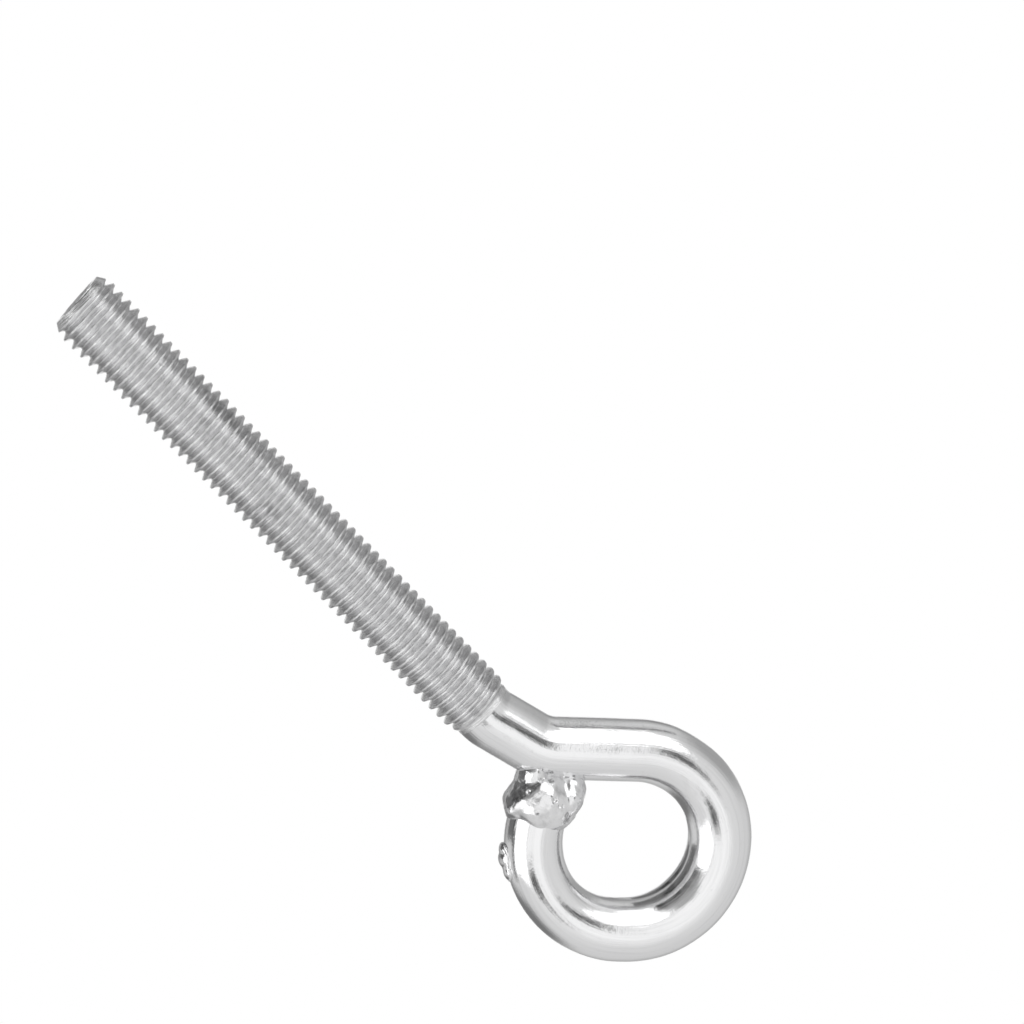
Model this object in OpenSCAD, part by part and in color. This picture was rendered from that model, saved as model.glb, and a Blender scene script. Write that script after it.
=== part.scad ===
// Eye bolt: one round steel bar, thread-rolled along its shank, bent twice into a neck,
// curled into a closed eye and welded where its end meets the neck.
//
// Frame: millimetres, +Z up along the shank's axis, with the eye on top and the free end below.
// The origin is on the axis where the full thread ends, as far up as a nut can run.
// The eye lies in the XZ plane, and a hook or shackle passes through it along Y.

/* [Thread] */
// Nominal diameter of the thread, M10
thread_d = 10; // [9:0.5:12]
// Axial distance from one turn to the next
thread_pitch = 1.5; // [1:0.05:1.75]
// Full thread, from the free end to the last full turn
full_thread_length = 75.5; // [40:1:120]
// Fading thread between the last full turn and the plain bar
runout_length = 2; // [1.5:0.1:4]
// How far the crests stand inside the nominal diameter, on the diameter
crest_allowance = 0.15; // [0.05:0.01:0.3]
// Height of the 45 degree lead-in at the free end
lead_in = 1.4; // [0.8:0.1:2]
// Depth of the shallow cup that rolling leaves in the free end's face
end_cup_depth = 0.5; // [0.2:0.05:1]
// Diameter of that cup
end_cup_d = 5.5; // [3:0.1:6.5]

/* [Bar] */
// Diameter of the plain bar in the neck and the eye
bar_d = 8.7; // [8:0.1:9.2]
// How much thinner the bar is where it has been bent
bend_thinning = 0.04; // [0.03:0.01:0.3]

/* [Neck] */
// Angle of the first, slight bend, just past the thread
first_bend_angle = 14.5; // [5:0.5:20]
// Centreline radius of the first bend
first_bend_r = 6; // [5.5:0.5:15]
// Straight bar between the thread's run-out and the first bend
neck_start = 0.4; // [0.4:0.1:5]
// Straight bar between the two bends
neck_straight = 5.8; // [3:0.1:10]
// Angle of the second bend, which aims the bar past the eye's side
second_bend_angle = 28; // [25:0.5:36]
// Centreline radius of the second bend
second_bend_r = 8; // [6:0.5:12]
// Straight bar from the second bend to where the eye's curve starts
top_run = 11.5; // [8:0.1:16]

/* [Eye] */
// Diameter of the eye's clear hole between its curved sides
eye_hole_d = 16.6; // [12:0.1:22]
// How much the eye is longer than it is wide
eye_stretch = 1.2; // [0:0.1:3]
// Turn of the eye's curve, from the end of the top run to the bar's cut end
eye_turn = 292; // [284:1:300]
// Gap left for the weld between the bar's cut end and the neck, at its narrowest
root_gap = 0.5; // [0.2:0.1:1]

/* [Welds] */
// How far the closing weld stands proud of the bar at its thickest
bead_height = 0.9; // [0.6:0.1:1.6]
// Half the closing weld's length along the bar
bead_reach = 4.2; // [3.5:0.1:6]
// How far the weld's thickest place lies back from the bar's cut end
bead_setback = 0.8; // [0:0.1:2]
// How far the closing weld sits off the bar's axis, towards the outside of the eye
bead_offset = 0.3; // [0:0.1:0.6]
// Radius of the fillet lump between the weld and the neck, outside the eye
outer_web_r = 2.8; // [2:0.1:3.2]
// Radius of the fillet lump between the weld and the neck, inside the eye
inner_web_r = 2.8; // [2:0.1:3.2]
// Where the second, small weld run sits, as a turn along the eye's curve
run_turn = 262; // [250:1:266]
// Length of the small weld run down the outside of the eye
run_length = 6; // [3:0.1:8]
// Width of the small weld run across the bar
run_width = 3.4; // [2:0.1:5]
// How far the small weld run stands proud of the bar
run_height = 0.5; // [0.4:0.05:1.2]

/* [Hidden] */

$fn = 160;
plating = "gainsboro";
thread_grey = "silver";
weld_grey = "darkgray";

// A metric external thread: 60 degree flanks, a crest an eighth of the pitch wide,
// and a depth of 0.6134 of the pitch.
crest_r = (thread_d - crest_allowance) / 2;
crest_width = thread_pitch / 8;
thread_depth = 0.6134 * thread_pitch;
flank_run = thread_depth * tan(30);
root_r = crest_r - thread_depth;
turns = floor(full_thread_length / thread_pitch);
fading_turns = ceil(runout_length / thread_pitch);
// Anything drawn past this radius is outside the thread
clearance = 1;
clear_r = crest_r + clearance;

bar_r = bar_d / 2;
bent_r = bar_r - bend_thinning / 2;
// How far a bend runs on inside the straight bar beside it, so that the two are one solid
bend_seat = 0.2;
// Centreline radius of the eye's two curves
eye_r = eye_hole_d / 2 + bent_r;
half_turn = 180;

// The bar's cut end stops short of the neck by the root gap. The end leans over the neck by
// `tail_lean`, so its nearest corner, and not its centre, sets how long the tail is.
tail_lean = eye_turn - 270;
end_height = eye_r * (1 - sin(tail_lean)) - bar_r * (1 + sin(tail_lean)) - root_gap;
tail_length = max(0.2, end_height / cos(tail_lean));

bead_r = bar_r + bead_height;

// ---------- Following the bar ----------

// Moves the children past a straight stretch of bar
module after_straight(length) {
    translate([0, 0, length]) children();
}

// Moves the children past a bend towards -X
module after_bend(radius, angle) {
    translate([-radius, 0, 0])
        rotate([0, -angle, 0])
            translate([radius, 0, 0]) children();
}

module straight_bar(length) {
    cylinder(h = length, r = bar_r);
}

// `seat` is how far the bend runs on into the straight bar before it
module bent_bar(radius, angle, seat = bend_seat) {
    degrees_per_mm = half_turn / (PI * radius);
    first_angle = -seat * degrees_per_mm;
    last_angle = angle + bend_seat * degrees_per_mm;
    translate([-radius, 0, 0])
        rotate([90, 0, 0])
            rotate_extrude(start = first_angle, angle = last_angle - first_angle)
                translate([radius, 0]) circle(r = bent_r);
}

// From the origin to where the eye's curve starts, turned so that the eye bends towards -X too
module at_eye_start() {
    after_straight(runout_length + neck_start)
        after_bend(first_bend_r, first_bend_angle)
            after_straight(neck_straight)
                after_bend(second_bend_r, second_bend_angle)
                    after_straight(top_run)
                        rotate([0, 0, half_turn]) children();
}

// To a place on the second half of the eye's curve
module at_eye_turn(turn) {
    at_eye_start()
        after_bend(eye_r, half_turn)
            after_straight(eye_stretch)
                after_bend(eye_r, turn - half_turn) children();
}

module at_cut_end() {
    at_eye_turn(eye_turn) after_straight(tail_length) children();
}

// ---------- Threaded shank ----------

// Half outline of one thread ridge, from the axis out, centred on its crest
module ridge_outline() {
    polygon([
        [0, -crest_width / 2 - flank_run],
        [root_r, -crest_width / 2 - flank_run],
        [crest_r, -crest_width / 2],
        [crest_r, crest_width / 2],
        [root_r, crest_width / 2 + flank_run],
        [0, crest_width / 2 + flank_run]
    ]);
}

// The core under the thread. It swells to the plain bar's size along the run-out.
module core_outline() {
    polygon([
        [0, -full_thread_length],
        [root_r, -full_thread_length],
        [root_r, 0],
        [bar_r, runout_length],
        [0, runout_length]
    ]);
}

// What the lead-in and the run-out leave of the ridges
module thread_limits() {
    polygon([
        [0, -full_thread_length],
        [crest_r - lead_in, -full_thread_length],
        [clear_r, -full_thread_length + lead_in + clearance],
        [clear_r, crest_width],
        [crest_r, crest_width],
        [bar_r, runout_length],
        [0, runout_length]
    ]);
}

module threaded_shank() {
    color(thread_grey)
        difference() {
            rotate_extrude()
                intersection() {
                    union() {
                        core_outline();
                        for (turn = [-fading_turns : turns])
                            translate([0, -turn * thread_pitch]) ridge_outline();
                    }
                    thread_limits();
                }
            end_cup();
        }
}

// A shallow 45 degree cone, started below the end's face so that it cuts cleanly
module end_cup() {
    wide_r = end_cup_d / 2 + end_cup_depth;
    narrow_r = end_cup_d / 2 - end_cup_depth;
    translate([0, 0, -full_thread_length - end_cup_depth])
        cylinder(h = wide_r - narrow_r, r1 = wide_r, r2 = narrow_r);
}

// ---------- Neck and eye ----------

module neck() {
    color(plating)
        after_straight(runout_length) {
            straight_bar(neck_start);
            after_straight(neck_start) {
                bent_bar(first_bend_r, first_bend_angle);
                after_bend(first_bend_r, first_bend_angle) {
                    straight_bar(neck_straight);
                    after_straight(neck_straight) {
                        bent_bar(second_bend_r, second_bend_angle);
                        after_bend(second_bend_r, second_bend_angle) straight_bar(top_run);
                    }
                }
            }
        }
}

module eye_loop() {
    color(plating)
        at_eye_start() {
            bent_bar(eye_r, half_turn, seat = 0);
            after_bend(eye_r, half_turn) {
                straight_bar(eye_stretch);
                after_straight(eye_stretch) {
                    bent_bar(eye_r, eye_turn - half_turn);
                    after_bend(eye_r, eye_turn - half_turn) straight_bar(tail_length);
                }
            }
        }
}

// ---------- Welds ----------

// An ellipsoid with its long axis along the bar
module lump(across, through, along) {
    scale([across, through, along]) sphere(r = 1);
}

module closing_weld() {
    color(weld_grey)
        difference() {
            at_cut_end()
                union() {
                    translate([bead_offset, 0, -bead_setback]) lump(bead_r, bead_r, bead_reach);
                    translate([bead_r - outer_web_r, 0, outer_web_r / 2]) sphere(r = outer_web_r);
                    translate([inner_web_r - bead_r, 0, bead_setback]) sphere(r = inner_web_r);
                }
            neck();
            eye_loop();
        }
}

module outer_weld_run() {
    color(weld_grey)
        difference() {
            at_eye_turn(run_turn)
                translate([bar_r, 0, 0]) lump(run_height, run_width / 2, run_length / 2);
            eye_loop();
            closing_weld();
        }
}

threaded_shank();
neck();
eye_loop();
closing_weld();
outer_weld_run();
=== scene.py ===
"""The looks of a bright zinc plated eye bolt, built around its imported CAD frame.

Sizes are in millimetres unless a name says otherwise, and `MM` turns them into metres when a
mesh is made. The frame is the CAD's: +Z runs up the shank's axis towards the eye, the origin is
where the full thread ends, and the eye lies in the XZ plane.
"""

import math

import bmesh
import bpy
from mathutils import Matrix, Vector, noise


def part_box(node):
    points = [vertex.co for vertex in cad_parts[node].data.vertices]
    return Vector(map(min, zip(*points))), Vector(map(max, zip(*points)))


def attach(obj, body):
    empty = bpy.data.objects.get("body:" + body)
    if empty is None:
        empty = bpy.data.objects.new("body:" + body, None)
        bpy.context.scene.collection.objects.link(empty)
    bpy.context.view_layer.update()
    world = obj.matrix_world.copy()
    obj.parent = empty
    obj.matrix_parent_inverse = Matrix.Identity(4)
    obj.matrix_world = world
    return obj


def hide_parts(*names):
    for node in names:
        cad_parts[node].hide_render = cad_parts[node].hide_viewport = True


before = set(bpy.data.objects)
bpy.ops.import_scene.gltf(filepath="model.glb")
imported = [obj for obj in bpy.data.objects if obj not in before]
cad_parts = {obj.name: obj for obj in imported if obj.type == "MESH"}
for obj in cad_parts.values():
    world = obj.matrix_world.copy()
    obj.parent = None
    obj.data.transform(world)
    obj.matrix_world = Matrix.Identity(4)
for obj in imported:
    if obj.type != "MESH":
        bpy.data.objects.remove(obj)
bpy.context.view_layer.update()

MM = 0.001
TAU = 2 * math.pi

# ---------- Sizes ----------

# The shank, read from the frame
SHANK_LOW, SHANK_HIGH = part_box("threaded_shank")
THREAD_LENGTH = -SHANK_LOW[2] / MM
RUNOUT = SHANK_HIGH[2] / MM
CREST_R = SHANK_HIGH[0] / MM
PITCH = 1.5
THREAD_DEPTH = 0.6134 * PITCH
CREST_HALF = 1.3 * PITCH / 16
FLANK_RUN = THREAD_DEPTH * math.tan(math.radians(30))
# The free end: its rim and lead-in, the cup in its face, and how far out of square it was cut
END_R = CREST_R - 0.95
LEAD_SLOPE = math.tan(math.radians(33))
END_CUP_R = 3.1
END_CUP_DEPTH = 0.55
END_SLANT = math.radians(5)

# The bar and its bends, as in the CAD model
BAR_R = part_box("neck")[1][1] / MM
NECK_START = 0.4
FIRST_BEND = (6, math.radians(14.5))
NECK_STRAIGHT = 5.8
SECOND_BEND = (8, math.radians(28))
TOP_RUN = 11.5
EYE_HOLE_D = 16.6
BAR_MIDDLE_FROM_HOLE = 4.33
EYE_R = EYE_HOLE_D / 2 + BAR_MIDDLE_FROM_HOLE
EYE_STRETCH = 1.2
EYE_TURN = math.radians(292)
# The cut end stops just short of the neck, and leans over it by what the turn is past 270 degrees
ROOT_GAP = 0.5
LEAN = EYE_TURN - 1.5 * math.pi
TAIL_DROP = EYE_R * (1 - math.sin(LEAN)) - BAR_R * (1 + math.sin(LEAN)) - ROOT_GAP
TAIL_LENGTH = TAIL_DROP / math.cos(LEAN)


# ---------- Following the bar ----------


def bar_stretches():
    """(length, curvature) of each stretch from the shank's end to the bar's cut end.

    Curvature is the turn for each millimetre, and positive towards -X.
    """
    first_r, first_angle = FIRST_BEND
    second_r, second_angle = SECOND_BEND
    half_eye = math.pi * EYE_R
    return [
        (NECK_START, 0),
        (first_r * first_angle, 1 / first_r),
        (NECK_STRAIGHT, 0),
        (second_r * second_angle, 1 / second_r),
        (TOP_RUN, 0),
        (half_eye, -1 / EYE_R),
        (EYE_STRETCH, 0),
        (EYE_R * (EYE_TURN - math.pi), -1 / EYE_R),
        (TAIL_LENGTH, 0),
    ]


NECK_LENGTH = sum(length for length, _ in bar_stretches()[:5])
BAR_LENGTH = sum(length for length, _ in bar_stretches())


def bar_place(travel):
    """Centre, outward side and direction of the bar after `travel` mm from the shank's end.

    Along the eye's curve the side points into the eye.
    """
    x, z, heading = 0.0, RUNOUT, 0.0
    left = travel
    for length, curvature in bar_stretches():
        step = min(max(left, 0), length)
        if curvature:
            r = 1 / curvature
            x += r * (math.cos(heading + step * curvature) - math.cos(heading))
            z += r * (math.sin(heading + step * curvature) - math.sin(heading))
            heading += step * curvature
        else:
            x -= step * math.sin(heading)
            z += step * math.cos(heading)
        left -= step
    side = Vector((math.cos(heading), 0, math.sin(heading)))
    ahead = Vector((-math.sin(heading), 0, math.cos(heading)))
    return Vector((x, 0, z)), side, ahead


def smooth(low, high, value):
    t = min(max((value - low) / (high - low), 0), 1)
    return t * t * (3 - 2 * t)


def bump_at(value, centre, width):
    """A smooth bump of height 1 at `centre`, gone `width` away."""
    return smooth(width, 0, abs(value - centre))


# ---------- Mesh making ----------


def add_object(name, vertices, faces, material):
    mesh = bpy.data.meshes.new(name)
    mesh.from_pydata([tuple(v) for v in vertices], [], faces)
    mesh.update()
    mesh.shade_smooth()
    piece = bpy.data.objects.new(name, mesh)
    bpy.context.scene.collection.objects.link(piece)
    mesh.materials.append(material)
    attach(piece, "root")
    return piece


def tube_faces(rings, around):
    faces = []
    for i in range(rings - 1):
        low, high = i * around, (i + 1) * around
        for j in range(around):
            k = (j + 1) % around
            faces.append((low + j, low + k, high + k, high + j))
    return faces


def cap_face(ring, around, facing_up):
    corners = [ring * around + j for j in range(around)]
    return tuple(corners if facing_up else reversed(corners))


# ---------- Nodes ----------


class Shader:
    """A node tree being filled. Sockets and plain numbers can be mixed as inputs."""

    def __init__(self, tree):
        self.tree = tree
        self.tree.nodes.clear()

    def node(self, kind, inputs=(), **settings):
        made = self.tree.nodes.new(kind)
        for key, value in settings.items():
            setattr(made, key, value)
        for key, value in dict(inputs).items():
            self.feed(made.inputs[key], value)
        return made

    def feed(self, socket, value):
        if isinstance(value, bpy.types.NodeSocket):
            self.tree.links.new(value, socket)
        else:
            socket.default_value = value

    def math(self, operation, *values, clamp=False):
        made = self.tree.nodes.new("ShaderNodeMath")
        made.operation = operation
        made.use_clamp = clamp
        for place, value in enumerate(values):
            self.feed(made.inputs[place], value)
        return made.outputs[0]

    def ramp_up(self, value, low, high):
        """0 at low and 1 at high, smooth between them; low may be the larger."""
        if low > high:
            return self.math("SUBTRACT", 1.0, self.ramp_up(value, high, low))
        made = self.node("ShaderNodeMapRange", interpolation_type="SMOOTHSTEP")
        for key, number in (("Value", value), ("From Min", low), ("From Max", high)):
            self.feed(made.inputs[key], number)
        return made.outputs["Result"]

    def between(self, value, low, high, edge):
        """1 from low to high, falling to 0 over `edge` outside them."""
        rising = self.ramp_up(value, low - edge, low)
        falling = self.ramp_up(value, high, high + edge)
        return self.math("SUBTRACT", rising, falling, clamp=True)

    def blend(self, amount, first, second):
        """first where amount is 0 and second where it is 1, for numbers."""
        made = self.node("ShaderNodeMix", data_type="FLOAT")
        for key, value in (("Factor", amount), ("A", first), ("B", second)):
            self.feed(next(s for s in made.inputs if s.name == key and s.type == "VALUE"), value)
        return next(s for s in made.outputs if s.type == "VALUE")

    def noise(self, place, scale, detail=3.0, roughness=0.55, distortion=0.0):
        made = self.node("ShaderNodeTexNoise")
        for key, value in (
            ("Vector", place),
            ("Scale", scale),
            ("Detail", detail),
            ("Roughness", roughness),
            ("Distortion", distortion),
        ):
            self.feed(made.inputs[key], value)
        return made.outputs["Fac"]


def grey(level):
    """A grey with the faint blue of zinc."""
    return (level, level, level * 1.006, 1)


# ---------- Materials ----------


# The mesh attribute with each vertex's place on the straight bar, in mm
STRAIGHT = "straight_bar"
# The streaks' noise cells per mm, twice across the bar and then along it
ALONG_BAR = (2.2, 2.2, 0.07)
ROUND_THREAD = (0.25, 0.25, 8.0)
EVERY_WAY = (1, 1, 1)


def straight_place(s, stretch):
    """Where a point lay in mm before the bar was bent, with +Z along the bar, times `stretch`."""
    place = s.node("ShaderNodeAttribute", attribute_name=STRAIGHT).outputs["Vector"]
    mapping = s.node("ShaderNodeMapping")
    s.feed(mapping.inputs["Vector"], place)
    mapping.inputs["Scale"].default_value = stretch
    return mapping.outputs["Vector"]


def keep_straight(piece, places):
    """Stores each vertex's place on the straight bar for the materials."""
    layer = piece.data.attributes.new(STRAIGHT, "FLOAT_VECTOR", "POINT")
    layer.data.foreach_set("vector", [number for place in places for number in place])


def zinc(name, greys, shine, streaks, grain, speckle, stain):
    """Bright zinc plate: a mirror broken by fine speckle, drawing streaks and dull stains.

    greys are its bright and dull levels, and shine its least and greatest roughness. streaks is
    (stretch of the noise, bump height in mm), grain and speckle are each (noise cells per mm, bump
    height in mm), and stain is how much the dull patches cover.
    """
    material = bpy.data.materials.new(name)
    material.use_nodes = True
    s = Shader(material.node_tree)
    place = straight_place(s, (1, 1, 1))
    cloud = s.noise(place, 0.16, 4, 0.6, 0.4)
    patch = s.ramp_up(cloud, 0.64 - 0.25 * stain, 0.84 - 0.2 * stain)
    fleck = s.ramp_up(s.noise(place, 1.7, 3, 0.6, 0.8), 0.66, 0.76)
    streak = s.noise(straight_place(s, streaks[0]), 1.0, 3, 0.6, 0.1)
    fine = s.noise(place, speckle[0], 2, 0.6, 0.2)
    broad = s.noise(place, grain[0], 4, 0.55, 0.3)

    # Dull where there is a stain, a fleck or the dark side of a streak
    dullness = s.math("MULTIPLY_ADD", patch, 0.6, s.math("MULTIPLY", fleck, 0.5))
    either_side = s.math("SUBTRACT", streak, 0.5)
    dullness = s.math("MULTIPLY_ADD", either_side, 0.9, dullness, clamp=True)
    colour = s.node("ShaderNodeMix", data_type="RGBA")
    factor, first, second = colour.inputs[0], colour.inputs[6], colour.inputs[7]
    s.feed(factor, dullness)
    first.default_value, second.default_value = grey(greys[0]), grey(greys[1])

    relief = s.math("MULTIPLY", fine, speckle[1] * MM)
    relief = s.math("MULTIPLY_ADD", broad, grain[1] * MM, relief)
    relief = s.math("MULTIPLY_ADD", streak, streaks[1] * MM, relief)
    bump = s.node("ShaderNodeBump", {"Strength": 1.0, "Distance": 1.0, "Height": relief})

    metal = s.node("ShaderNodeBsdfPrincipled")
    s.feed(metal.inputs["Base Color"], colour.outputs[2])
    metal.inputs["Metallic"].default_value = 1.0
    s.feed(metal.inputs["Roughness"], s.blend(dullness, *shine))
    s.feed(metal.inputs["Normal"], bump.outputs["Normal"])
    out = s.node("ShaderNodeOutputMaterial")
    s.feed(out.inputs["Surface"], metal.outputs["BSDF"])
    return material


ZINC_BAR = zinc(
    "zinc_on_bar",
    greys=(0.89, 0.64),
    shine=(0.10, 0.24),
    streaks=(ALONG_BAR, 0.030),
    grain=(0.8, 0.022),
    speckle=(5.0, 0.010),
    stain=0.15,
)
ZINC_THREAD = zinc(
    "zinc_on_thread",
    greys=(0.80, 0.20),
    shine=(0.11, 0.28),
    streaks=(ROUND_THREAD, 0.110),
    grain=(1.1, 0.020),
    speckle=(4.5, 0.010),
    stain=0.35,
)
ZINC_WELD = zinc(
    "zinc_on_weld",
    greys=(0.84, 0.40),
    shine=(0.13, 0.36),
    streaks=(EVERY_WAY, 0.02),
    grain=(0.7, 0.060),
    speckle=(4.5, 0.012),
    stain=0.6,
)


# ---------- Threaded shank ----------


def thread_profile():
    """(place along one pitch, height from root to crest) from crest to crest, corners eased."""
    # Rolling leaves a faint furrow along the middle of the crest
    half = [
        (0.0, 0.945),
        (0.35 * CREST_HALF, 0.975),
        (0.7 * CREST_HALF, 1.0),
        (CREST_HALF, 0.975),
        (CREST_HALF + 0.12 * FLANK_RUN, 0.865),
        (CREST_HALF + 0.38 * FLANK_RUN, 0.62),
        (CREST_HALF + 0.64 * FLANK_RUN, 0.36),
        (CREST_HALF + 0.84 * FLANK_RUN, 0.165),
        (CREST_HALF + 0.97 * FLANK_RUN, 0.055),
        (CREST_HALF + FLANK_RUN + 0.03 * PITCH, 0.008),
    ]
    falling = half + [(PITCH / 2, 0.0)]
    rising = [(PITCH - place, height) for place, height in reversed(half[1:])]
    return falling + rising


THREAD_AROUND = 128
# Rows of the ridge this near an end are pressed onto its rim
END_SNAP = 0.02
# Unevenness of the crests: slow wear, and nicks where the noise passes a threshold
WORN_DEPTH = 0.018
NICK_DEPTH = 0.06
NICK_FROM = 0.36
# Points nearer than this are one
MERGE_WITHIN = 0.0002
# The rings across the free end's face, and the radius inside which its cup is flat
CUP_RINGS = 10
CUP_FIRST_R = 3.6
CUP_LAST_R = 0.2
CUP_FLOOR_R = 0.6
END_ROUGHNESS = 0.05


def end_height(angle, r):
    """Height of the free end's face, which was cut a little out of square."""
    return -THREAD_LENGTH + math.tan(END_SLANT) * (END_R + r * math.cos(angle))


def shank_radius(z, height, angle):
    """Radius of the threaded shank where its ridge has `height`, with its two ends worked in."""
    root_r = CREST_R - THREAD_DEPTH
    fade = smooth(RUNOUT, -0.2 * PITCH, z)
    low = BAR_R + (root_r - BAR_R) * fade
    crest = BAR_R + (CREST_R - BAR_R) * fade
    r = low + (crest - low) * height
    worn = noise.noise(Vector((math.cos(angle), math.sin(angle), z / 6)) * 2.1) * WORN_DEPTH
    nick = noise.noise(Vector((math.cos(angle) * 5, math.sin(angle) * 5, z * 1.9)))
    r += (worn - NICK_DEPTH * max(nick - NICK_FROM, 0)) * height * fade
    lead = END_R + (z - end_height(angle, END_R)) * LEAD_SLOPE
    return min(r, lead)


def build_shank():
    profile = thread_profile()
    rows_in_turn = len(profile)
    turns = math.ceil((THREAD_LENGTH + RUNOUT) / PITCH) + 2
    rows = turns * rows_in_turn
    first = -THREAD_LENGTH - PITCH
    vertices = []
    for row in range(rows):
        turn, step = divmod(row, rows_in_turn)
        place, height = profile[step]
        for j in range(THREAD_AROUND):
            angle = TAU * j / THREAD_AROUND
            z = first + (turn + j / THREAD_AROUND) * PITCH + place
            low = end_height(angle, END_R)
            if z < low + END_SNAP:
                z, r = low, END_R
            elif z > RUNOUT - END_SNAP:
                z, r = RUNOUT, BAR_R
            else:
                r = shank_radius(z, height, angle)
            vertices.append((r * math.cos(angle) * MM, r * math.sin(angle) * MM, z * MM))
    faces = []
    for row in range(rows - 1):
        for j in range(THREAD_AROUND - 1):
            a = row * THREAD_AROUND + j
            faces.append((a, a + 1, a + 1 + THREAD_AROUND, a + THREAD_AROUND))
        # The last column meets the first one a whole turn further up
        a = row * THREAD_AROUND + THREAD_AROUND - 1
        if row + 1 + rows_in_turn < rows:
            b = (row + rows_in_turn) * THREAD_AROUND
            faces.append((a, b, b + THREAD_AROUND, a + THREAD_AROUND))
    piece = add_object("threaded_shank_helix", vertices, faces, ZINC_THREAD)
    close_shank(piece)
    keep_straight(piece, [v.co / MM for v in piece.data.vertices])
    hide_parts("threaded_shank")


def close_shank(piece):
    """Merges the rows that were pressed onto the ends' rims, and closes the ends."""
    bm = bmesh.new()
    bm.from_mesh(piece.data)
    bmesh.ops.remove_doubles(bm, verts=bm.verts, dist=MERGE_WITHIN * MM)
    middle = -THREAD_LENGTH / 2 * MM
    open_edges = [e for e in bm.edges if e.is_boundary]
    low = [e for e in open_edges if e.verts[0].co.z < middle]
    high = [e for e in open_edges if e.verts[0].co.z > middle]
    bmesh.ops.edgeloop_fill(bm, edges=high)
    # The free end's rim falls into a shallow cup
    for r, depth in cup_rings():
        low = inner_ring(bm, low, r, depth)
    bmesh.ops.edgeloop_fill(bm, edges=low)
    bmesh.ops.recalc_face_normals(bm, faces=bm.faces)
    bm.to_mesh(piece.data)
    bm.free()
    piece.data.shade_smooth()


def cup_rings():
    """(radius, depth into the end) of the rings from the rim to the cup's middle."""
    rings = []
    for i in range(CUP_RINGS):
        r = CUP_FIRST_R + (CUP_LAST_R - CUP_FIRST_R) * i / (CUP_RINGS - 1)
        rings.append((r, END_CUP_DEPTH * smooth(END_CUP_R + 0.3, CUP_FLOOR_R, r)))
    return rings


def inner_ring(bm, edges, r, depth):
    """Extrudes an open edge loop at the free end inwards to radius r, `depth` mm into the end."""
    made = bmesh.ops.extrude_edge_only(bm, edges=edges)["geom"]
    for v in (g for g in made if isinstance(g, bmesh.types.BMVert)):
        angle = math.atan2(v.co.y, v.co.x)
        rough = END_ROUGHNESS * noise.noise(Vector((v.co.x, v.co.y, 0)) / MM * 0.9)
        z = end_height(angle, r) + depth + rough
        v.co = Vector((r * math.cos(angle), r * math.sin(angle), z)) * MM
    return [g for g in made if isinstance(g, bmesh.types.BMEdge)]


# ---------- Bar: neck and eye ----------

BAR_AROUND = 128
BAR_STEP = 0.22
# The first and last rings of a length of bar lie this close to the next ones
SEAM_STEP = 0.01

# What bending did to the bar's radius: swollen inside the curve, flattened outside it
SWELL_INSIDE = 0.10
FLAT_OUTSIDE = 0.06
WIDER_ACROSS = 0.02
# Where the mandrel pushed the far inner side out: how far, at which turn of the eye's curve,
# within how many degrees of it, and on which side of the bar
MANDREL_SWELL = 0.62
MANDREL_TURN = 135
MANDREL_REACH = 80
MANDREL_SIDE = 55
# The end that closed last was drawn thinner by this much
DRAWN_DOWN = 0.30
# (turn, reach in degrees, depth) of the former's press marks on the outer side
PRESS_MARKS = ((30, 16, 0.10), (205, 22, 0.12))


def eye_travel(turn_degrees):
    """Travel along the bar at a turn of the eye's curve."""
    return NECK_LENGTH + EYE_R * math.radians(turn_degrees)


def bar_radius(travel, angle):
    """Radius of the worked bar at a travel along it and an angle round it.

    Angle 0 faces into the eye, along the eye's curve.
    """
    inward = max(math.cos(angle), 0)
    outward = max(-math.cos(angle), 0)
    across = math.sin(angle) ** 2
    turn = math.degrees((travel - NECK_LENGTH) / EYE_R)
    curved = smooth(0, 25, turn) * smooth(292, 265, turn)
    r = BAR_R
    r += curved * (SWELL_INSIDE * inward**2 - FLAT_OUTSIDE * outward**4 + WIDER_ACROSS * across)
    from_side = abs(math.degrees(angle) - MANDREL_SIDE)
    r += MANDREL_SWELL * bump_at(turn, MANDREL_TURN, MANDREL_REACH) * smooth(100, 0, from_side)
    r -= DRAWN_DOWN * smooth(190, 240, turn)
    for middle, reach, depth in PRESS_MARKS:
        r -= depth * bump_at(turn, middle, reach) * outward**6
    return r


def bar_wobble(point):
    """Slow unevenness of the bar's surface."""
    slow = noise.noise(point * 0.16) * 0.030
    finer = noise.noise(point * 0.45 + Vector((7, 3, 1))) * 0.008
    return slow + finer


def build_bar(name, start, end, node):
    """A length of bar as one closed tube, from `start` to `end` along the bar."""
    steps = max(2, round((end - start) / BAR_STEP))
    stations = [start + (end - start) * i / steps for i in range(steps + 1)]
    # A very short first and last step keep the shine unbroken where two lengths meet
    stations.insert(1, start + SEAM_STEP)
    stations.insert(-1, end - SEAM_STEP)
    vertices = []
    straight = []
    for travel in stations:
        centre, side, _ = bar_place(travel)
        for j in range(BAR_AROUND):
            angle = TAU * j / BAR_AROUND
            out = side * math.cos(angle) + Vector((0, 1, 0)) * math.sin(angle)
            r = bar_radius(travel, angle)
            r += bar_wobble(centre + out * r) * smooth(0, 3, travel)
            vertices.append((centre + out * r) * MM)
            straight.append((BAR_R * math.cos(angle), BAR_R * math.sin(angle), travel))
    faces = tube_faces(len(stations), BAR_AROUND)
    faces.append(cap_face(0, BAR_AROUND, False))
    faces.append(cap_face(len(stations) - 1, BAR_AROUND, True))
    piece = add_object(name, vertices, faces, ZINC_BAR)
    keep_straight(piece, straight)
    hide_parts(node)


# ---------- Welds ----------


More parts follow.
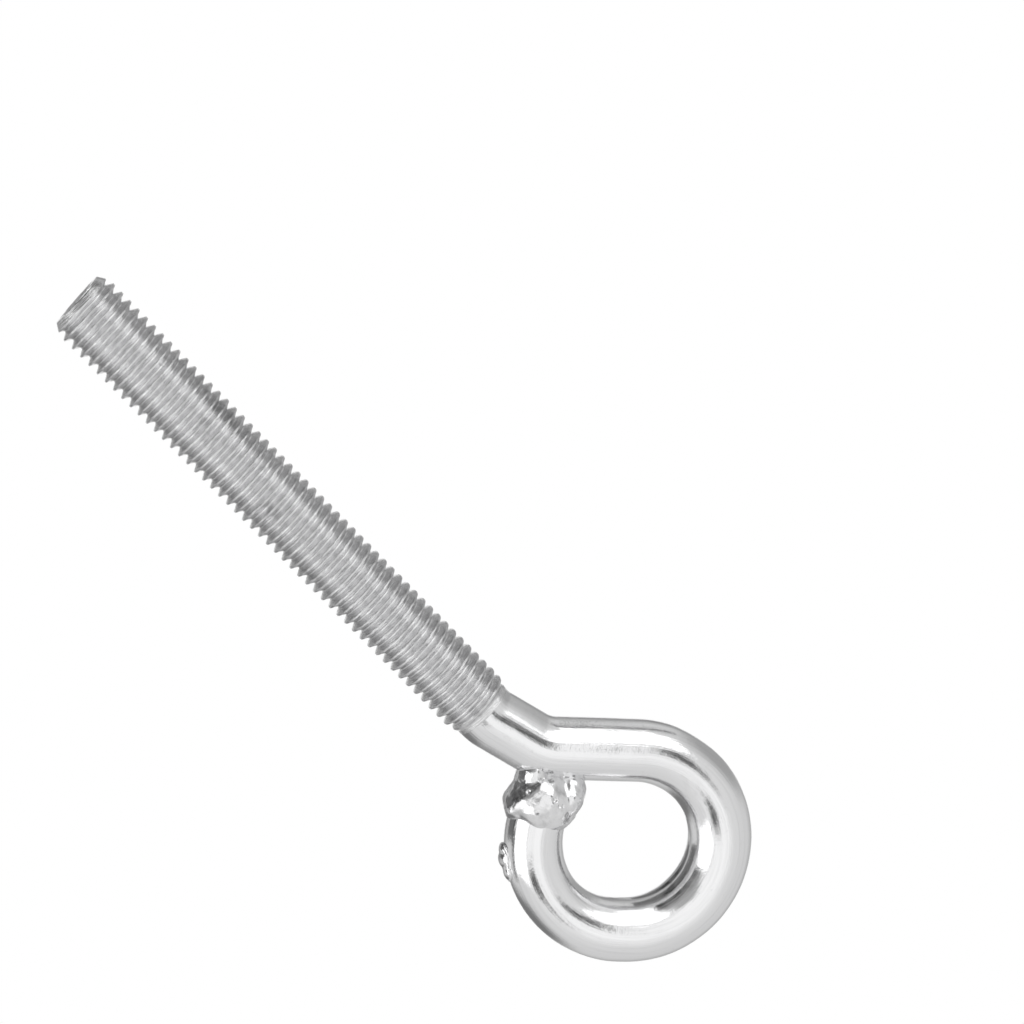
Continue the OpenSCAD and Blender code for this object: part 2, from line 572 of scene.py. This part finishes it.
def add_lump(bm, travel, place, size):
    """Adds an ellipsoid at a place of the bar: across it into the eye, along Y, and along it."""
    centre, side, ahead = bar_place(travel)
    turn = Matrix((side, Vector((0, 1, 0)), ahead)).transposed().to_4x4()
    matrix = Matrix.Scale(MM, 4) @ Matrix.Translation(centre) @ turn
    matrix = matrix @ Matrix.Translation(place) @ Matrix.Diagonal((*size, 1))
    bmesh.ops.create_icosphere(bm, subdivisions=4, radius=1, matrix=matrix)


def fuse(piece, voxel, softening):
    """Makes one closed skin of a piece's overlapping lumps, and eases its creases."""
    remesh = piece.modifiers.new("skin", "REMESH")
    remesh.mode = "VOXEL"
    remesh.voxel_size = voxel * MM
    remesh.use_smooth_shade = True
    eased = piece.modifiers.new("eased", "SMOOTH")
    eased.factor = 0.5
    eased.iterations = softening
    graph = bpy.context.evaluated_depsgraph_get()
    skin = bpy.data.meshes.new_from_object(piece.evaluated_get(graph))
    piece.modifiers.clear()
    materials = list(piece.data.materials)
    piece.data = skin
    skin.materials.clear()
    for material in materials:
        skin.materials.append(material)
    skin.shade_smooth()


def weather_weld(piece, ripple, pits):
    """Moves a weld's skin along its normals: solidified ripples, lumps and gas pits.

    pits are as WELD_PITS.
    """
    mesh = piece.data
    for v in mesh.vertices:
        point = v.co / MM
        lift = ripple * noise.noise(point * 0.45)
        lift += ripple * 0.45 * noise.noise(point * 0.8 + Vector((5, 0, 2)))
        lift += ripple * 0.07 * noise.noise(point * 2.4)
        for x, z, radius, depth in pits:
            away = math.hypot(point.x - x, point.z - z)
            if point.y < 0:
                lift -= depth * smooth(radius, radius * 0.2, away)
        v.co += v.normal * lift * MM
    mesh.update()
    keep_straight(piece, [v.co / MM for v in mesh.vertices])


# Places and radii of the lumps that the closing weld solidified from, each (across the bar into
# the eye, along Y, along the bar towards the neck) from the middle of the bar's cut end
WELD_LUMPS = (
    ((-0.1, 0.0, -0.9), (4.95, 5.0, 4.5)),
    ((2.3, 0.0, 1.3), (2.6, 3.8, 3.6)),
    ((-3.3, 0.0, 1.8), (2.1, 3.6, 3.2)),
    ((-3.0, -0.3, -2.2), (2.35, 3.4, 3.1)),
    ((-0.4, -1.9, -1.1), (4.3, 3.2, 4.0)),
    ((2.4, -1.6, 0.6), (2.3, 2.6, 2.6)),
    ((-0.2, 2.8, -0.6), (3.8, 2.2, 3.0)),
)
# (x, z, radius, depth) of the gas pits in the side that faces -Y
WELD_PITS = (
    (1.5, 16.6, 0.42, 0.45),
    (1.7, 17.7, 0.26, 0.35),
    (1.35, 18.1, 0.24, 0.35),
    (1.0, 13.7, 0.35, 0.35),
    (3.2, 13.4, 0.3, 0.3),
    (-1.9, 16.2, 0.3, 0.3),
)

# As WELD_LUMPS, from the bar's middle at this turn of the eye's curve
RUN_TURN = 262
RUN_LUMPS = (
    ((-3.75, 0.0, 0.4), (0.80, 1.7, 2.8)),
    ((-4.00, 0.1, 0.9), (0.80, 1.6, 1.3)),
    ((-3.80, -0.3, -0.8), (0.75, 1.5, 1.3)),
    ((-3.85, 0.2, 2.2), (0.7, 1.4, 1.1)),
)


def weld_skin(name, travel, lumps, voxel, softening):
    """One closed skin round lumps that are placed from the bar's middle at `travel`."""
    mesh = bpy.data.meshes.new(name)
    bm = bmesh.new()
    for place, size in lumps:
        add_lump(bm, travel, place, size)
    bm.to_mesh(mesh)
    bm.free()
    piece = bpy.data.objects.new(name, mesh)
    bpy.context.scene.collection.objects.link(piece)
    mesh.materials.append(ZINC_WELD)
    fuse(piece, voxel, softening)
    return piece


def build_closing_weld():
    """The weld that wraps the bar's cut end and joins it to the neck."""
    piece = weld_skin("closing_weld_bead", BAR_LENGTH, WELD_LUMPS, voxel=0.17, softening=30)
    weather_weld(piece, 0.26, WELD_PITS)
    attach(piece, "root")
    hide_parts("closing_weld")


def build_weld_run():
    """The small run down the outside of the eye, beyond the closing weld."""
    travel = eye_travel(RUN_TURN)
    piece = weld_skin("outer_weld_beads", travel, RUN_LUMPS, voxel=0.11, softening=5)
    weather_weld(piece, 0.10, [])
    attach(piece, "root")
    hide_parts("outer_weld_run")


# ---------- Studio ----------

# The camera looks up at the eye and is rolled, as the bolt lies across the picture
CAMERA_PLACE = Vector((-1.854, -354.239, -90.730))
CAMERA_AIM = Vector((-21.495, 0, -14.750))
CAMERA_UP = Vector((-0.70131, 0.11211, -0.70398))
LENS = 94.92
SENSOR = 36
# The floor's distance below the free end, and half its width
FLOOR_DROP = 64
FLOOR_HALF = 3000


def build_camera():
    data = bpy.data.cameras.new("camera")
    data.lens = LENS
    data.sensor_width = SENSOR
    data.clip_start, data.clip_end = 0.01, 20
    data.dof.use_dof = False
    camera = bpy.data.objects.new("camera", data)
    bpy.context.scene.collection.objects.link(camera)
    camera.matrix_world = Matrix.Translation(CAMERA_PLACE * MM) @ view_axes().to_4x4()
    bpy.context.scene.camera = camera


def view_axes():
    """Right, up and towards the camera, as a matrix's columns."""
    back = (CAMERA_PLACE - CAMERA_AIM).normalized()
    right = CAMERA_UP.cross(back).normalized()
    up = back.cross(right)
    return Matrix((right, up, back)).transposed()


def build_floor():
    """A large white sheet well below the bolt, which stands clear of it."""
    half = FLOOR_HALF * MM
    z = SHANK_LOW[2] - FLOOR_DROP * MM
    corners = [(-half, -half, z), (half, -half, z), (half, half, z), (-half, half, z)]
    mesh = bpy.data.meshes.new("floor")
    mesh.from_pydata(corners, [], [(0, 1, 2, 3)])
    floor = bpy.data.objects.new("floor", mesh)
    bpy.context.scene.collection.objects.link(floor)
    material = bpy.data.materials.new("floor_white")
    material.use_nodes = True
    s = Shader(material.node_tree)
    glow = s.node("ShaderNodeEmission", {"Color": (1, 1, 1, 1), "Strength": 1.0})
    out = s.node("ShaderNodeOutputMaterial")
    s.feed(out.inputs["Surface"], glow.outputs["Emission"])
    mesh.materials.append(material)
    floor.visible_glossy = False
    floor.visible_diffuse = False
    floor.visible_shadow = False


# The studio's parts are placed by directions off the view's own axis, in degrees to the right and
# up in the picture. These are the brightnesses that the plating mirrors.
SOFT_BOX = 1.5
CAMERA_CARD = 1.0
CARD_NEAR = 0.74
CARD_FAR = 0.66
ROOM = 0.28
ROOM_BELOW = 0.44
ROOM_GAP = 0.16
GAP_NEAR = 0.44
GAP_FAR = 0.10
GAP_LEAST = 0.03
SMUDGE_DARK = 0.10
# (place, half size, brightness) of the darker patches of room
ROOM_PATCHES = (
    ((-85, -105), (45, 35), 0.20),
    ((105, 65), (40, 45), 0.38),
)
# (place, half size) of the dark smudges beside the camera
SMUDGES = (
    ((34, 3), (6.5, 14)),
    ((-8, -32), (13, 7)),
)
# Rectangles of directions: (from, to, edge) to the right and the same upwards
UPPER_BOX = (-1, 48, 3), (24, 80, 3)
LEFT_BOX = (-77, -29, 3), (-37, 14, 5)
BOX_GAP = (-92, -8, 3), (13, 92, 4)
# The soft boxes' dark frames: broad on their far sides and thin on their near ones. Each has a
# rectangle, how much it covers and its brightness.
BOX_FRAMES = (
    (((-6, 56, 4), (84, 90, 2)), 0.8, 0.05),
    (((-89, -82, 2), (-50, 20, 4)), 0.8, 0.05),
    (((-3, 46, 3), (20, 21.5, 1.2)), 0.7, 0.2),
    (((-27.5, -25.5, 1.5), (-34, 2, 4)), 0.55, 0.2),
)


def panel(s, right, up, sides):
    """1 inside a rectangle of directions, falling to 0 over its edges."""
    wide, high = sides
    return s.math("MULTIPLY", s.between(right, *wide), s.between(up, *high))


def spot(s, right, up, place, size, edge):
    """1 inside an oval of directions, falling to 0 over `edge` of its size."""
    x = s.math("DIVIDE", s.math("SUBTRACT", right, place[0]), size[0])
    y = s.math("DIVIDE", s.math("SUBTRACT", up, place[1]), size[1])
    away = s.math("SQRT", s.math("ADD", s.math("MULTIPLY", x, x), s.math("MULTIPLY", y, y)))
    return s.ramp_up(away, 1 + edge, 1 - edge)


def view_directions(s):
    """The direction looked in, and its degrees to the right, up and off the view's axis."""
    direction = s.node("ShaderNodeTexCoord").outputs["Generated"]
    turned = s.node("ShaderNodeMapping", vector_type="POINT")
    s.feed(turned.inputs["Vector"], direction)
    turned.inputs["Rotation"].default_value = view_axes().transposed().to_euler("XYZ")
    axes = s.node("ShaderNodeSeparateXYZ")
    s.feed(axes.inputs[0], turned.outputs["Vector"])
    right, up, back = axes.outputs
    off = s.math("MULTIPLY", s.math("ARCCOSINE", back), 180 / math.pi)
    flat = s.math("ADD", s.math("MULTIPLY", right, right), s.math("MULTIPLY", up, up))
    spread = s.math("DIVIDE", off, s.math("MAXIMUM", s.math("SQRT", flat), 0.0001))
    return direction, s.math("MULTIPLY", right, spread), s.math("MULTIPLY", up, spread), off


def room_level(s, right, up, off):
    """Pale cards all round, with darker room beyond them and a pale wall behind the bolt."""
    level = s.blend(s.ramp_up(off, 50, 110), CARD_NEAR, CARD_FAR)
    lower_right = s.ramp_up(s.math("SUBTRACT", right, up), 0, 120)
    level = s.blend(s.ramp_up(off, 116, 150), level, s.blend(lower_right, ROOM, ROOM_BELOW))
    upper_left = s.math("MULTIPLY", s.ramp_up(right, 22, 16), s.ramp_up(up, -20, -8))
    ring = s.between(off, 80, 124, 3)
    level = s.blend(s.math("MULTIPLY", upper_left, ring), level, ROOM_GAP)
    for place, size, brightness in ROOM_PATCHES:
        level = s.blend(spot(s, right, up, place, size, 0.5), level, brightness)
    return s.blend(s.ramp_up(off, 155, 160), level, CAMERA_CARD)


def mirrored_level(s):
    """Brightness of the studio in each direction, as the plating mirrors it."""
    direction, right, up, off = view_directions(s)
    cloud = s.math("SUBTRACT", s.noise(direction, 5.0, 3, 0.6), 0.5)
    level = room_level(s, right, up, off)

    # The camera's own card, which fades out to the right and downwards
    across = s.math("MULTIPLY", s.ramp_up(right, -28, -25), s.ramp_up(right, 48, 20))
    upwards = s.math("MULTIPLY", s.ramp_up(up, -62, -18), s.ramp_up(up, 24, 20))
    card = s.math("ADD", CAMERA_CARD, s.math("MULTIPLY", cloud, 0.25))
    level = s.blend(s.math("MULTIPLY", across, upwards), level, card)

    # A streaky dark gap between the two soft boxes
    gap = s.blend(s.ramp_up(off, 30, 74), GAP_NEAR, GAP_FAR)
    gap = s.math("MAXIMUM", s.math("ADD", gap, s.math("MULTIPLY", cloud, 0.7)), GAP_LEAST)
    level = s.blend(panel(s, right, up, BOX_GAP), level, gap)
    for place, size in SMUDGES:
        level = s.blend(spot(s, right, up, place, size, 0.45), level, SMUDGE_DARK)

    # The soft boxes, the upper one with two corners off and the left one with its top cut askew
    corners = s.between(s.math("ADD", right, up), 28, 100, 6)
    upper = s.math("MULTIPLY", panel(s, right, up, UPPER_BOX), corners)
    askew = s.ramp_up(s.math("MULTIPLY_ADD", right, 0.3, up), -5, -10)
    left = s.math("MULTIPLY", panel(s, right, up, LEFT_BOX), askew)
    for box in (upper, left):
        level = s.blend(box, level, SOFT_BOX)
    for sides, cover, brightness in BOX_FRAMES:
        frame_cover = s.math("MULTIPLY", panel(s, right, up, sides), cover)
        level = s.blend(frame_cover, level, brightness)
    return level


def build_studio():
    """Two soft boxes beside the camera, pale cards round it and darker room behind.

    They stay fixed to the bolt whichever way it is looked at. The camera itself sees only white.
    """
    world = bpy.data.worlds.new("studio")
    bpy.context.scene.world = world
    world.use_nodes = True
    s = Shader(world.node_tree)
    seen = s.node("ShaderNodeLightPath").outputs["Is Camera Ray"]
    sky = s.node("ShaderNodeBackground", {"Color": (1, 1, 1, 1)})
    s.feed(sky.inputs["Strength"], s.blend(seen, mirrored_level(s), 1.0))
    out = s.node("ShaderNodeOutputWorld")
    s.feed(out.inputs["Surface"], sky.outputs["Background"])


# ---------- Making it ----------

build_camera()
build_shank()
build_bar("neck_bar", 0, NECK_LENGTH, "neck")
build_bar("eye_bar", NECK_LENGTH, BAR_LENGTH, "eye_loop")
build_closing_weld()
build_weld_run()
build_floor()
build_studio()
bpy.context.scene.view_settings.view_transform = "Standard"
